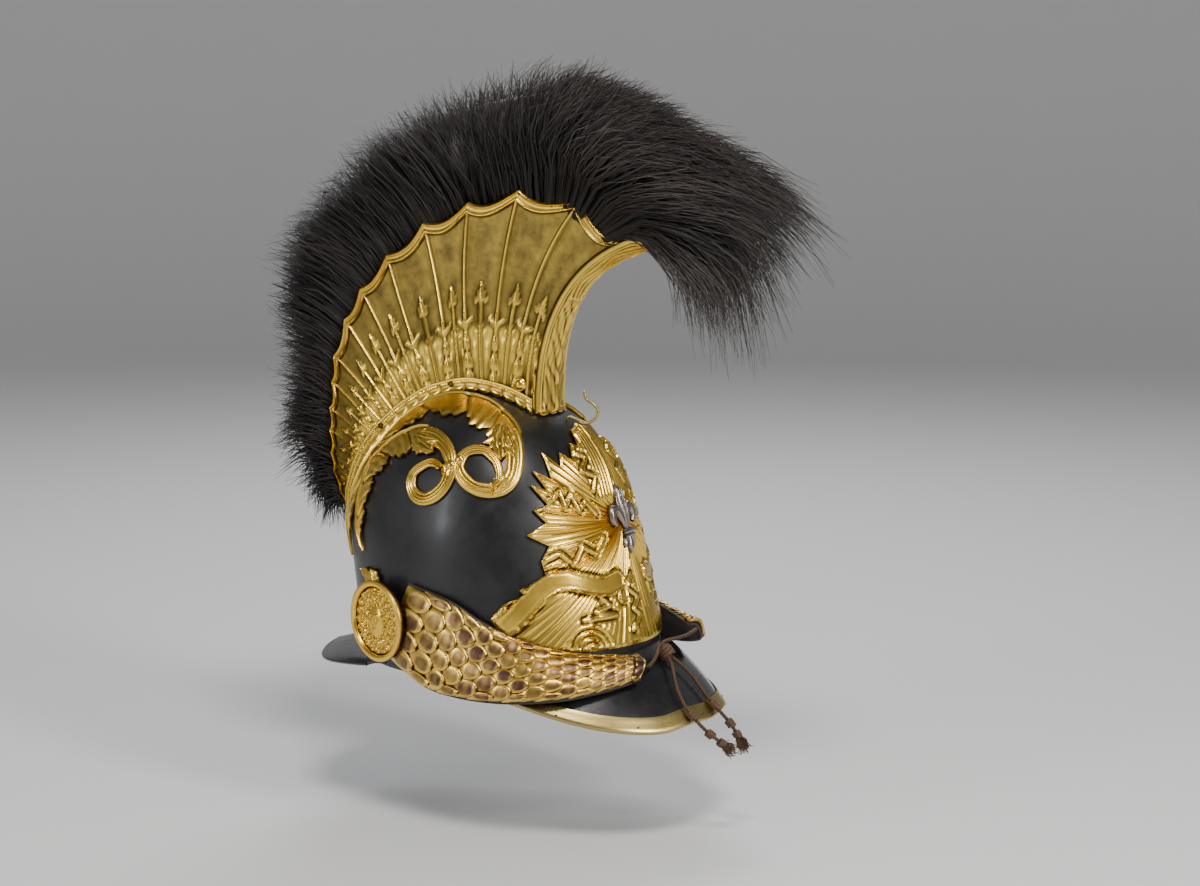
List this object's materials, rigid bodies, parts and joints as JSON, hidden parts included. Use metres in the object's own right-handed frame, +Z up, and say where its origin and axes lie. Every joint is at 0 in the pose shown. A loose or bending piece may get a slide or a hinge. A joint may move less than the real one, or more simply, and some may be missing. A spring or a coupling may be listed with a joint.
{
  "type": "cavalry helmet",
  "caption": "Cavalry parade helmet: black leather skull with peak, gilt ribbed comb, horsehair plume, rayed front plate, leaf scrolls and scale chin straps tied over the peak.",
  "frame": {"origin": "inside of the crown, where the top of the head touches the skull", "axes": "+Z up, -Y the front, +X the wearer's left"},
  "size_m": [0.2298, 0.4546, 0.4899],
  "materials": {
    "skull_leather": "black lacquered leather, worn gloss with fine cracks",
    "pale_brass": "pale rubbed brass edging",
    "plate_brass": "gilt stamped brass, bright on the ridges, darker in the ground",
    "comb_brass": "gilt stamped brass with a brown stippled ground between the ribs",
    "medallion_brass": "bright cast gilt brass",
    "scale_brass": "brass scales with brown patina and bright rims",
    "dark_silver": "oxidised silvered metal",
    "horsehair": "black-brown horsehair",
    "strap_leather": "dark brown leather, matte",
    "tie_silk": "faded brown twisted silk"
  },
  "bodies": {
    "root": {"skull": "skull_leather", "peak": "skull_leather", "neck_guard": "skull_leather", "peak_band": "pale_brass", "front_plate": "plate_brass", "fleur_de_lis": "dark_silver", "comb_panel_right": "comb_brass", "comb_panel_left": "comb_brass", "comb_front": "comb_brass", "comb_base_right": "comb_brass", "comb_base_left": "comb_brass", "comb_foot": "comb_brass", "comb_boss_right": "comb_brass", "comb_boss_left": "comb_brass", "comb_tail": "plate_brass", "plume": "horsehair", "plume_hook": "plate_brass", "scroll_right": "plate_brass", "scroll_left": "plate_brass", "medallion_right": "medallion_brass", "medallion_left": "medallion_brass", "strap_right": "strap_leather", "strap_left": "strap_leather", "scales_right": "scale_brass", "scales_left": "scale_brass", "strap_end_right": "scale_brass", "strap_end_left": "scale_brass", "tie_cord_right": "tie_silk", "tie_cord_left": "tie_silk", "tie_knot": "tie_silk", "tassel_right": "tie_silk", "tassel_left": "tie_silk"}
  },
  "joints": []
}
